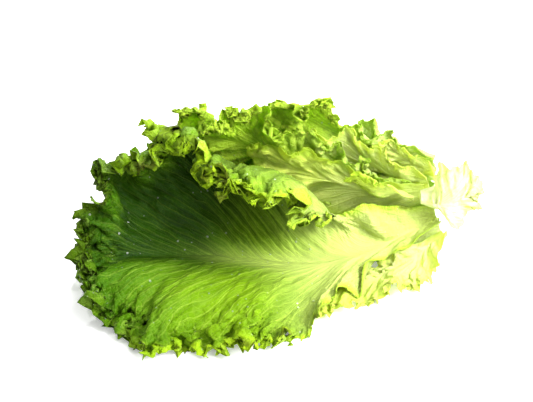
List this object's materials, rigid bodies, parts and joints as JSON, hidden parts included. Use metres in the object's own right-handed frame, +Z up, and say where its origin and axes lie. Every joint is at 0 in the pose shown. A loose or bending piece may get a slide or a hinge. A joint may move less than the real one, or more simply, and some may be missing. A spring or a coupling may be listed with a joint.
{
  "type": "lettuce",
  "caption": "Loose head of curly green leaf lettuce lying on its side, with frilled leaves round a short cut stem.",
  "frame": {"origin": "middle of the head's footprint, on the surface that it lies on", "axes": "+X from the leaf tips towards the cut base, +Y to the back of the head, +Z up"},
  "size_m": [0.2928, 0.2336, 0.1076],
  "materials": {
    "leaf_green": "satin, waxy, thin and light passes through",
    "leaf_dark": "satin, blistered, paler on the back",
    "leaf_pale": "satin, smooth and juicy",
    "leaf_yellow": "satin, thin and light passes through",
    "stem": "moist, cut across, fibrous"
  },
  "bodies": {
    "root": {"leaf_under_left": "leaf_dark", "leaf_under_right": "leaf_yellow", "leaf_back_low": "leaf_dark", "leaf_back_high": "leaf_dark", "leaf_top": "leaf_dark", "leaf_back_right_far": "leaf_pale", "leaf_back_right_mid": "leaf_pale", "leaf_back_right_near": "leaf_pale", "leaf_mid": "leaf_green", "leaf_heart_large": "leaf_pale", "leaf_heart_small": "leaf_pale", "leaf_front": "leaf_green", "stem": "stem"}
  },
  "joints": []
}
